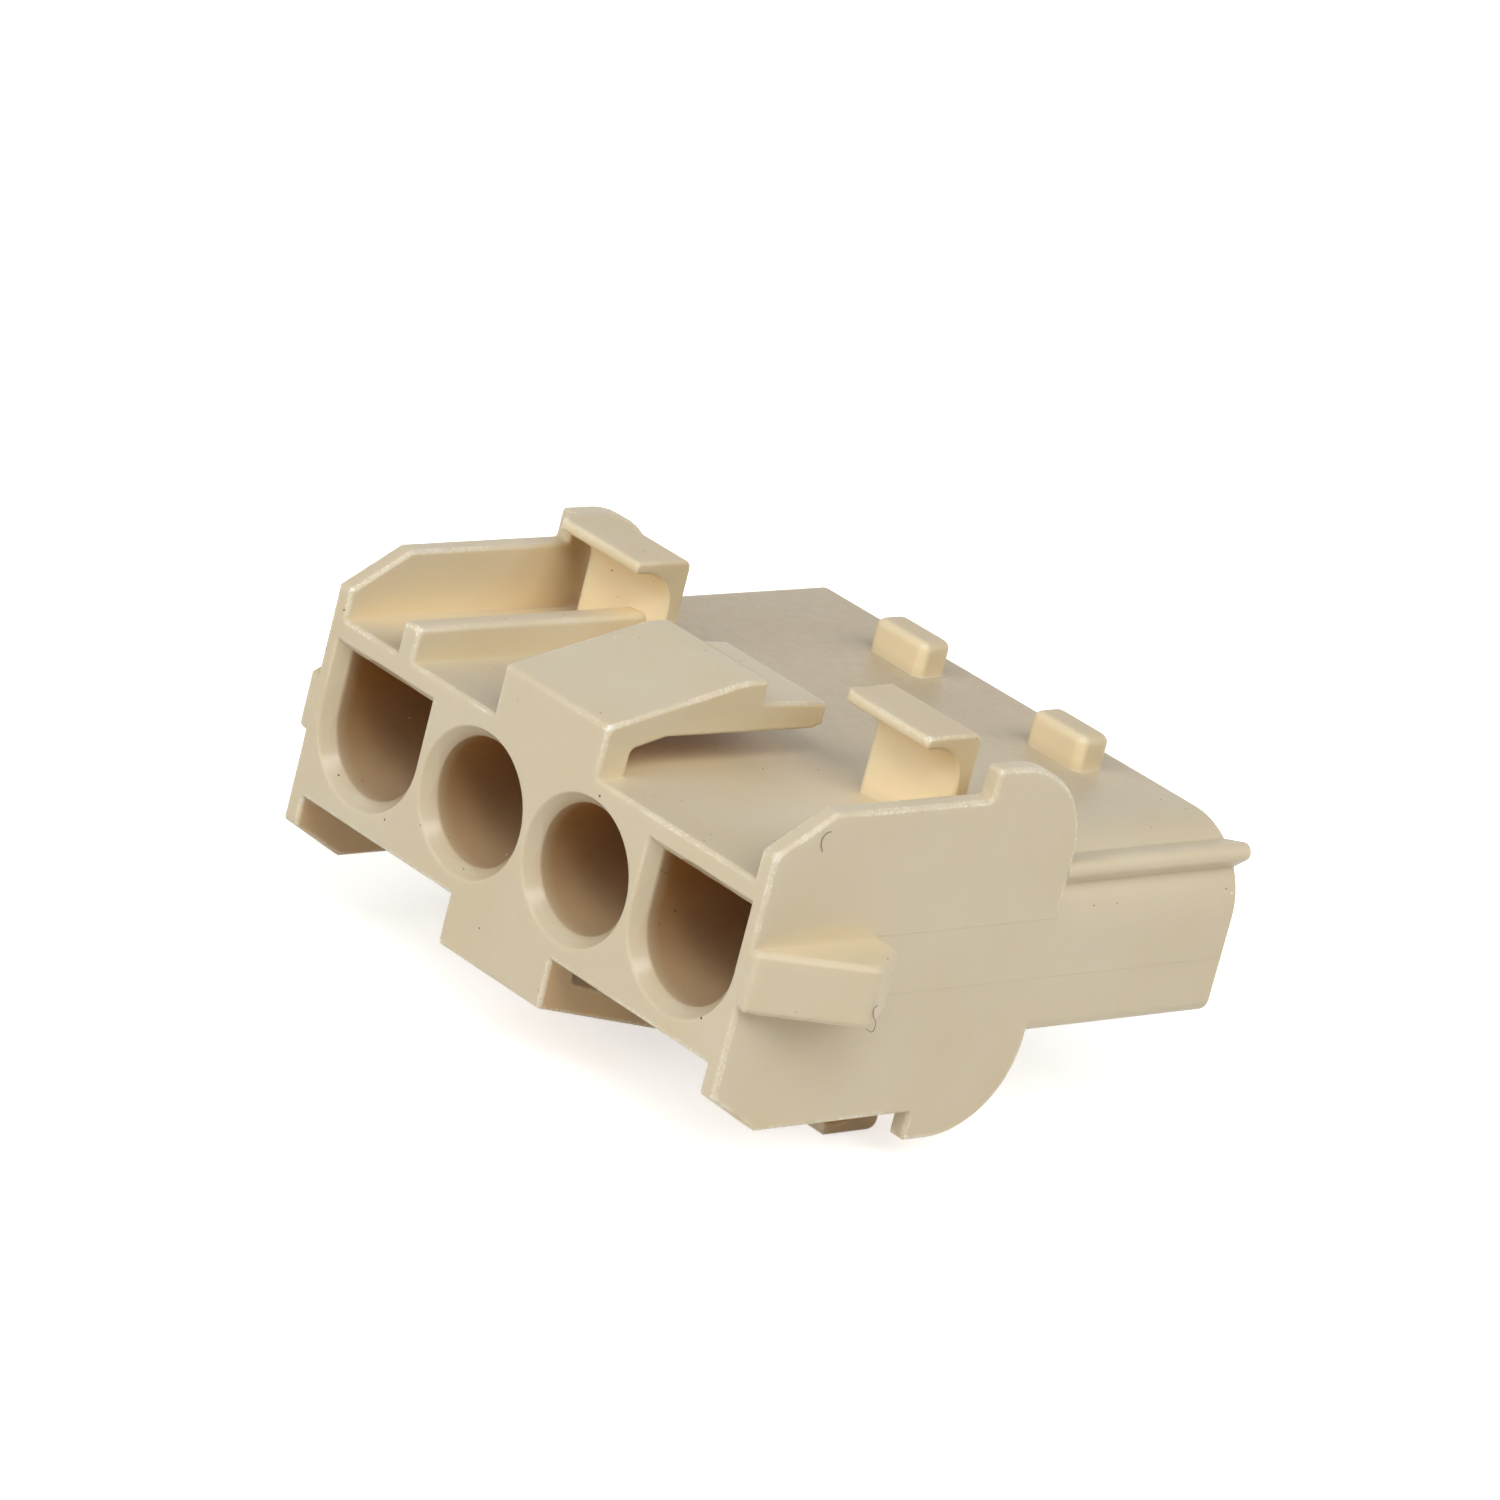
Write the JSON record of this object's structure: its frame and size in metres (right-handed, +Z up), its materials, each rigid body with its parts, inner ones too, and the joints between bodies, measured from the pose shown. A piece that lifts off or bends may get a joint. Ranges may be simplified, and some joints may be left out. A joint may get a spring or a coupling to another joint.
{
  "type": "wire to board connector housing",
  "caption": "Moulded nylon connector housing with a row of keyed cavities, sprung panel latches above and below, hooks behind them, side locking ramps and a nose with one keyed corner.",
  "frame": {"origin": "middle of the mating face, on the centre line of the panel cut-out", "axes": "+X along the row of cavities towards the keyed nose corner, +Y from the mating face to the wire end, +Z up to the side with the rib and nubs"},
  "size_m": [0.0314, 0.0267, 0.0168],
  "materials": {
    "nylon": "satin, natural, slightly translucent"
  },
  "bodies": {
    "root": {"housing": "nylon"}
  },
  "joints": []
}
